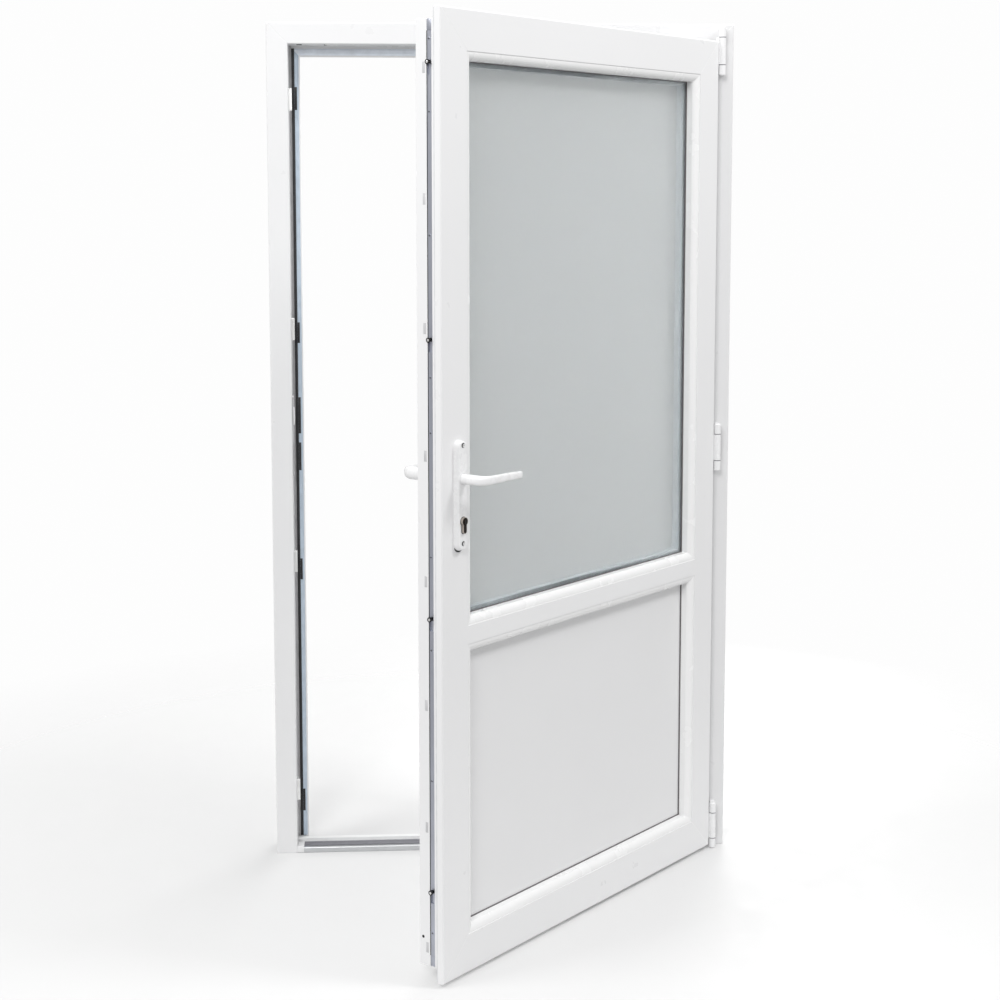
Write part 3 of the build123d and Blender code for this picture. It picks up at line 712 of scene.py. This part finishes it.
# Size of the dark sheet of painted shadow under the plate's foot
FOOT_SHADOW_INSET = 2.0
FOOT_SHADOW_BELOW_PLATE = 3.5
FOOT_SHADOW_OVER_SPINDLE = 10.0
FOOT_SHADOW_ROUND = 12.0
FOOT_SHADOW_SUNK = 0.2
FOOT_SHADOW_SHOWS = 1.6


def add_plate_screws():
    """Two white screws, each on a dark disc of painted shade in its recess, with a dark slot."""
    low, high = LEAF.span_mm("inner_handle_plate")
    front = low.y
    recess_shades, screws, slots = Shape(LEAF), Shape(LEAF), Shape(LEAF)
    for height in (high.z - SCREW_FROM_TOP, low.z + SCREW_FROM_FOOT):
        recess = circle((spindle.x, height), RECESS_RADIUS)
        recess_shades.prism(recess, front + RECESS_SUNK, front - RECESS_PROUD)
        head = circle((spindle.x + PLATE_SCREW_ASIDE, height - PLATE_SCREW_BELOW), PLATE_SCREW_RADIUS)
        screws.prism(head, front, front - PLATE_SCREW_PROUD)
        slots.box(
            (spindle.x + SLOT_ALONG[0], front - SLOT_PROUD[1], height - SLOT_TALL),
            (spindle.x + SLOT_ALONG[1], front - SLOT_PROUD[0], height),
        )
    # A dark disc under each screw: painted shade in its recess
    recess_shades.piece("plate_screw_recess_shades", "leaf", "dark_rubber", black_leaf)
    screws.piece("plate_screws", "leaf", "handle_metal", handle_white, bevel=0.3)
    slots.piece("plate_screw_slots", "leaf", "dark_rubber", black_leaf)


def add_plate_foot_shadow():
    """A dark sheet between the plate and the stile, reaching a little below the plate: painted shadow under
    the plate's foot.
    """
    low, high = LEAF.span_mm("inner_handle_plate")
    outline = rounded(
        low.x + FOOT_SHADOW_INSET,
        high.x - FOOT_SHADOW_INSET,
        low.z - FOOT_SHADOW_BELOW_PLATE,
        spindle.z + FOOT_SHADOW_OVER_SPINDLE,
        FOOT_SHADOW_ROUND,
    )
    foot_shadow = Shape(LEAF).prism(outline, high.y + FOOT_SHADOW_SUNK, high.y - FOOT_SHADOW_SHOWS)
    foot_shadow.piece("plate_foot_shadow", "leaf", "dark_rubber", black_leaf, bevel=0.3)


# Cylinder: a dark face with its plug and keyway at both ends, in a dark ring of painted shade for its gap in
# the inner plate

CYLINDER_BELOW_SPINDLE = 85.0
FACE_HEAD_RADIUS = 7.6
FACE_STEM_HALF = 4.2
FACE_DROP = 23.6
FACE_SUNK = 0.2
FACE_PROUD = 0.3
PLUG_RADIUS = 5.6
PLUG_PROUD = 0.8
KEYWAY_HALF = 0.9
KEYWAY_BELOW = 4.6
KEYWAY_ABOVE = 3.6
KEYWAY_PROUD = 1.0
# Size of the dark ring of painted shade in the gap round the cylinder
GAP_HEAD_RADIUS = 9.6
GAP_STEM_HALF = 6.2
GAP_DROP = 25.8
GAP_SUNK = 0.6
GAP_PROUD = 0.12


def add_cylinder_faces():
    """The cylinder's two ends, and a dark ring of painted shade for the gap round it in the inner plate."""
    head = (spindle.x, spindle.z - CYLINDER_BELOW_SPINDLE)
    low, high = LEAF.span_mm("lock_cylinder")
    faces, plugs, keyways = Shape(LEAF), Shape(LEAF), Shape(LEAF)
    for end, out in ((low.y, -1), (high.y, 1)):
        face = keyhole(head, FACE_HEAD_RADIUS, FACE_STEM_HALF, FACE_DROP)
        faces.prism(face, end - FACE_SUNK * out, end + FACE_PROUD * out)
        plugs.prism(circle(head, PLUG_RADIUS), end, end + PLUG_PROUD * out)
        keyways.box(
            (head[0] - KEYWAY_HALF, end, head[1] - KEYWAY_BELOW),
            (head[0] + KEYWAY_HALF, end + KEYWAY_PROUD * out, head[1] + KEYWAY_ABOVE),
        )
    front = LEAF.span_mm("inner_handle_plate")[0].y
    gap_shade = Shape(LEAF).prism(
        keyhole(head, GAP_HEAD_RADIUS, GAP_STEM_HALF, GAP_DROP), front + GAP_SUNK, front - GAP_PROUD
    )
    # A dark ring of painted shade in the cylinder's gap
    gap_shade.piece("cylinder_gap_shade", "leaf", "dark_rubber", black_leaf)
    faces.piece("cylinder_faces", "leaf", "cylinder_metal", bronze, bevel=0.15)
    plugs.piece("cylinder_plugs", "leaf", "cylinder_metal", bronze, bevel=0.4)
    keyways.piece("cylinder_keyways", "leaf", "dark_rubber", black_leaf)


# Lock edge of the leaf: small parts on and beside the faceplate. Its outer face is the lowest along.

faceplate_low, faceplate_high = LEAF.span_mm("lock_faceplate")
faceplate_middle = (faceplate_low.y + faceplate_high.y) / 2
# Place of the dark strip of painted shade beside the faceplate
GROOVE_SHADE_PROUD = 0.5
GROOVE_SHADE_BACK = (-1.3, 0.2)
VENT_COUNT = 8
VENT_LOWEST = 66.0
VENT_HIGHEST = 1845.0
VENT_MIDDLE = 62.0
VENT_HALF_WIDTH = 3.4
VENT_HALF_HEIGHT = 10.9
VENT_DEPTHS = (0.1, 2.0)
LINER_LENGTH = 23.0
LINER_GAP = 0.5
LINER_DEPTHS = (0.8, 4.5)
LINER_BACK = (1.0, 0.5)
FACEPLATE_SCREW_HEIGHTS = (100, 420, 690, 880, 1130, 1240, 1520, 1760, 1900)
FACEPLATE_SCREW_RADIUS = 3.2
DRAIN_PLACE = (73, 87)
DRAIN_RADIUS = 3.2
DRAIN_SUNK = 0.4
DRAIN_PROUD = 0.15
# Size of the bright disc of painted highlight on each cam
CAM_HIGHLIGHT_RADIUS = 2.9
CAM_HIGHLIGHT_POINTS = 24
CAM_HIGHLIGHT_SUNK = 0.4
CAM_HIGHLIGHT_PROUD = 0.15


def add_faceplate_groove_shade():
    """A dark strip of painted shade where the faceplate meets the back of its groove."""
    # A dark strip of painted shade in the faceplate's groove
    joint = Shape(LEAF).box(
        (faceplate_low.x - GROOVE_SHADE_PROUD, faceplate_high.y + GROOVE_SHADE_BACK[0], faceplate_low.z),
        (faceplate_high.x, faceplate_high.y + GROOVE_SHADE_BACK[1], faceplate_high.z),
    )
    joint.piece("faceplate_groove_shade", "leaf", "dark_rubber", black_leaf)


def add_vent_shades():
    """A row of grey fills in the vent slots of the leaf's edge: painted shade inside the slots."""
    vent_shades = Shape(LEAF)
    for i in range(VENT_COUNT):
        height = VENT_LOWEST + (VENT_HIGHEST - VENT_LOWEST) * i / (VENT_COUNT - 1)
        vent_shades.box(
            (faceplate_low.x + VENT_DEPTHS[0], VENT_MIDDLE - VENT_HALF_WIDTH, height - VENT_HALF_HEIGHT),
            (faceplate_low.x + VENT_DEPTHS[1], VENT_MIDDLE + VENT_HALF_WIDTH, height + VENT_HALF_HEIGHT),
        )
    vent_shades.piece("edge_vent_shades", "leaf", "grey_rubber", vent_shade, bevel=0.3)


def add_groove_liners():
    """The groove's metal lining above and below the faceplate."""
    liners = Shape(LEAF)
    below = (faceplate_low.z - LINER_LENGTH, faceplate_low.z - LINER_GAP)
    above = (faceplate_high.z + LINER_GAP, faceplate_high.z + LINER_LENGTH)
    for low, high in (below, above):
        liners.box(
            (faceplate_low.x + LINER_DEPTHS[0], faceplate_low.y + LINER_BACK[0], low),
            (faceplate_low.x + LINER_DEPTHS[1], faceplate_high.y - LINER_BACK[1], high),
        )
    liners.piece("edge_groove_liners", "leaf", "lock_steel", zinc_leaf, bevel=0.4)


def add_cam_highlights():
    """A bright disc on each locking cam, a painted highlight, which slides with it."""
    low, high = LEAF.span_mm("locking_cams")
    middle = (low.y + high.y) / 2
    highlights = Shape(LEAF)
    for height in stacked_heights("locking_cams"):
        outline = circle((middle, height), CAM_HIGHLIGHT_RADIUS, CAM_HIGHLIGHT_POINTS)
        highlights.prism(outline, low.x + CAM_HIGHLIGHT_SUNK, low.x - CAM_HIGHLIGHT_PROUD, ALONG)
    highlights.piece("cam_highlights", "lock_bar", "lock_steel", highlight_steel, bevel=0.2)


def add_faceplate_screws():
    """The faceplate's screws with their crosses."""
    screws, crosses = edge_screws(
        LEAF, faceplate_middle, FACEPLATE_SCREW_HEIGHTS, faceplate_low.x, -1, FACEPLATE_SCREW_RADIUS
    )
    screws.piece("faceplate_screws", "leaf", "lock_steel", zinc_leaf, bevel=0.25)
    crosses.piece("faceplate_screw_marks", "leaf", "dark_rubber", black_leaf)


def add_drain_hole():
    """A small dark drain hole low in the edge."""
    outline = circle(DRAIN_PLACE, DRAIN_RADIUS, SMALL_CIRCLE_POINTS)
    hole = Shape(LEAF).prism(outline, faceplate_low.x + DRAIN_SUNK, faceplate_low.x - DRAIN_PROUD, ALONG)
    hole.piece("edge_drain_hole", "leaf", "dark_rubber", black_leaf)


# Frame: grey painted shade at the jambs' reveals, the gasket root with painted shade at it, painted shadows
# of the keeps, and the small parts on the reveals

FRAME_FACE = 50.0
reveal = frame_high.x / MM - FRAME_FACE
head_underside = frame_high.z / MM - FRAME_FACE
# Width and depth of the grey strip of painted shade at each reveal
REVEAL_SHADE_WIDTH = 5.5
REVEAL_SHADE_BACK = (22.6, 25.2)
# Black gasket root along each stop, its black partly painted shade at the stop's root
ROOT_WIDTH = 7.0
ROOT_BACK = (20.0, 25.2)
# Black blocks on the lock jamb's stop: painted shadows cast by the keeps
KEEP_SHADOW_WIDTH = 5.5
KEEP_SHADOW_BACK = (20.05, 24.9)
KEEP_SHADOW_HEIGHTS = ((86, 142), (668, 720), (937, 1005), (1027, 1115), (1246, 1296), (1800, 1854))
BLOCK_WIDTH = 16.0
BLOCK_SUNK = 0.5
BLOCK_PROUD = 0.05
BLOCK_BACK = -1.5
BLOCK_HEIGHTS = (0.2, 15.6)


def add_jamb_trim():
    """Grey painted shade at the reveal and a black gasket root, partly painted shade, along both jambs'
    stops, and black painted shadows of the keeps on the lock side.
    """
    low, high = HOUSE.span_mm("lock_jamb_seal")
    reveal_shades, roots, keep_shadows = Shape(HOUSE), Shape(HOUSE), Shape(HOUSE)
    reveal_shade_end = reveal - REVEAL_SHADE_WIDTH
    root_end = reveal_shade_end - ROOT_WIDTH
    keep_shadow_end = root_end - KEEP_SHADOW_WIDTH
    for side in (-1, 1):
        reveal_shades.box(
            (side * reveal, REVEAL_SHADE_BACK[0], low.z), (side * reveal_shade_end, REVEAL_SHADE_BACK[1], head_underside)
        )
        roots.box((side * reveal_shade_end, ROOT_BACK[0], low.z), (side * root_end, ROOT_BACK[1], high.z))
    for shadow_low, shadow_high in KEEP_SHADOW_HEIGHTS:
        keep_shadows.box((-root_end, KEEP_SHADOW_BACK[0], shadow_low), (-keep_shadow_end, KEEP_SHADOW_BACK[1], shadow_high))
    # A grey strip of painted shade along each reveal
    reveal_shades.piece("jamb_reveal_shade_strips", "frame", "grey_rubber", reveal_shade)
    # The black root strip is partly the gasket and partly painted shade at the stop's root
    roots.piece("jamb_gasket_roots_and_shade", "frame", "dark_rubber", black_frame, bevel=0.4)
    # Painted shadows of the keeps, as black blocks on the lock jamb's stop
    keep_shadows.piece("jamb_keep_shadows", "frame", "dark_rubber", black_frame, bevel=0.4)


def add_threshold_blocks():
    """White end blocks where the threshold meets the jambs."""
    front = HOUSE.span_mm("threshold")[0].y - BLOCK_PROUD
    blocks = Shape(HOUSE)
    for side in (-1, 1):
        blocks.box(
            (side * (reveal + BLOCK_SUNK), front, BLOCK_HEIGHTS[0]),
            (side * (reveal - BLOCK_WIDTH), BLOCK_BACK, BLOCK_HEIGHTS[1]),
        )
    blocks.piece("threshold_end_blocks", "frame", "frame_plastic", block_white, bevel=0.6)


# Under the head: a small keep and two dark marks, each as (along, back, below the head)
HEAD_KEEP = ((-414, -385), (-20, -9), (1.2, -0.2))
HEAD_MARKS = (((-416, -410), (-19, -10), (1.4, -0.1)), ((-480, -468), (-24, -8), (0.8, -0.2)))


def head_box(shape, along, back, below):
    """A block under the head."""
    shape.box(
        (along[0], back[0], head_underside - below[0]), (along[1], back[1], head_underside - below[1])
    )


def add_head_keep():
    """The small keep under the head, and the dark marks beside it."""
    keep, marks = Shape(HOUSE), Shape(HOUSE)
    head_box(keep, *HEAD_KEEP)
    for mark in HEAD_MARKS:
        head_box(marks, *mark)
    keep.piece("head_keep", "frame", "keep_metal", keep_metal, bevel=0.3)
    marks.piece("head_keep_marks", "frame", "dark_rubber", black_frame)


# Strike: the white latch piece and the strike's screws

LIP_SUNK = 0.5
LIP_PROUD = 2.9
LIP_BACK = (1.0, 9.0)
LIP_OVER_SPINDLE = (14.0, 56.0)
STRIKE_SCREW_HEIGHTS = (941, 1008, 1117)
STRIKE_SCREW_RADIUS = 3.3


def add_strike_fittings():
    """The latch piece on the strike, and its screws with their crosses."""
    low, high = HOUSE.span_mm("main_strike")
    lip = Shape(HOUSE).box(
        (high.x - LIP_SUNK, low.y + LIP_BACK[0], spindle.z + LIP_OVER_SPINDLE[0]),
        (high.x + LIP_PROUD, low.y + LIP_BACK[1], spindle.z + LIP_OVER_SPINDLE[1]),
    )
    lip.piece("strike_latch_lip", "frame", "bead_plastic", upstand_white, bevel=0.5)
    middle = (low.y + high.y) / 2
    screws, crosses = edge_screws(HOUSE, middle, STRIKE_SCREW_HEIGHTS, high.x, 1, STRIKE_SCREW_RADIUS)
    screws.piece("strike_screws", "frame", "lock_steel", zinc_frame, bevel=0.25)
    crosses.piece("strike_screw_marks", "frame", "dark_rubber", black_frame)


# Glass: the dark joint in the spacer's top bar

SPACER_JOINT_ALONG = (-600.6, -599.2)
SPACER_JOINT_PROUD = 0.6
SPACER_JOINT_SUNK = 0.2
SPACER_JOINT_TOP = (-2.5, 1.0)


def add_spacer_joint():
    """The joint mark of the spacer, at the top of the glass."""
    front = LEAF.span_mm("front_pane")[0].y
    top = LEAF.span_mm("glass_spacer")[1].z
    mark = Shape(LEAF).box(
        (SPACER_JOINT_ALONG[0], front - SPACER_JOINT_PROUD, top + SPACER_JOINT_TOP[0]),
        (SPACER_JOINT_ALONG[1], front + SPACER_JOINT_SUNK, top + SPACER_JOINT_TOP[1]),
    )
    mark.piece("spacer_joint", "leaf", "dark_rubber", black_leaf)


add_levers()
add_plate_screws()
add_plate_foot_shadow()
add_cylinder_faces()
add_faceplate_groove_shade()
add_vent_shades()
add_groove_liners()
add_cam_highlights()
add_faceplate_screws()
add_drain_hole()
add_jamb_trim()
add_threshold_blocks()
add_head_keep()
add_strike_fittings()
add_spacer_joint()


# Stage: floor, light and camera

FLOOR_RADIUS = 9.0
FLOOR_POINTS = 96
FLOOR_FADE_START = 0.35
FLOOR_FADE_END = 2.2
FLOOR_DROP = 0.0005
WORLD_LIGHT = 0.5
WORLD_SEEN = 0.985

# Each light as name, place, target, size and watts
LIGHTS = (
    ("key", (-3.6, -1.7, 4.6), (-0.2, -0.5, 1.4), (2.0, 2.0), 90),
    ("front", (-1.4, -5.2, 4.1), (0, -0.3, 1.4), (1.6, 1.6), 120),
    ("fill", (3.4, -1.6, 4.8), (0.2, -0.4, 1.6), (1.2, 1.2), 100),
    ("overhead", (0.3, 0.1, 4.2), (0, -0.3, 1.1), (3.0, 3.0), 40),
    ("back", (0.9, 2.6, 1.1), (0.2, -0.3, 0.9), (1.6, 2.4), 42),
)


def make_floor():
    """A pale round floor that fades into the backdrop's white."""
    mesh = bmesh.new()
    bmesh.ops.create_circle(mesh, cap_ends=True, radius=FLOOR_RADIUS, segments=FLOOR_POINTS)
    data = bpy.data.meshes.new("studio_floor")
    mesh.to_mesh(data)
    mesh.free()
    floor = bpy.data.objects.new("studio_floor", data)
    floor.location = (0, 0, -FLOOR_DROP)
    bpy.context.scene.collection.objects.link(floor)
    made = Surface("studio_floor", HOUSE)
    made.tint(made.noise(1.5, 3), FLOOR_DARKER, FLOOR_PALER)
    made.rough(made.noise(12, 4), 0.5, 0.65)
    length = made.tree.nodes.new("ShaderNodeVectorMath")
    length.operation = "LENGTH"
    made.link(made.place.outputs[0], length.inputs[0])
    fade = made.spread(length.outputs["Value"], FLOOR_FADE_START, FLOOR_FADE_END, 1, 0)
    made.link(fade, made.shader.inputs["Alpha"])
    data.materials.append(made.material)


def area_light(name, place, target, size, power):
    """A soft rectangular light aimed at a point."""
    data = bpy.data.lights.new(name, "AREA")
    data.shape = "RECTANGLE"
    data.size, data.size_y = size
    data.energy = power
    light = bpy.data.objects.new(name, data)
    light.location = place
    light.rotation_euler = (Vector(target) - Vector(place)).to_track_quat("-Z", "Y").to_euler()
    bpy.context.scene.collection.objects.link(light)


def make_world():
    """White surroundings: full white behind the object, softer as a light."""
    world = bpy.data.worlds.new("studio")
    world.use_nodes = True
    tree = world.node_tree
    background = tree.nodes["Background"]
    background.inputs["Color"].default_value = (1, 1, 1, 1)
    path = tree.nodes.new("ShaderNodeLightPath")
    level = tree.nodes.new("ShaderNodeMapRange")
    level.inputs["To Min"].default_value = WORLD_LIGHT
    level.inputs["To Max"].default_value = WORLD_SEEN
    tree.links.new(path.outputs["Is Camera Ray"], level.inputs["Value"])
    tree.links.new(level.outputs["Result"], background.inputs["Strength"])
    bpy.context.scene.world = world


def make_camera():
    """The photograph's point of view."""
    data = bpy.data.cameras.new("camera")
    data.sensor_width = CAMERA_SENSOR
    data.lens = CAMERA_LENS
    data.shift_y = CAMERA_SHIFT
    data.dof.use_dof = False
    camera = bpy.data.objects.new("camera", data)
    camera.location = CAMERA_PLACE
    camera.rotation_euler = (math.radians(90 + CAMERA_PITCH), 0, math.radians(CAMERA_YAW))
    bpy.context.scene.collection.objects.link(camera)
    bpy.context.scene.camera = camera


make_floor()
make_world()
for light in LIGHTS:
    area_light(*light)
make_camera()
bpy.context.scene.view_settings.view_transform = "Standard"
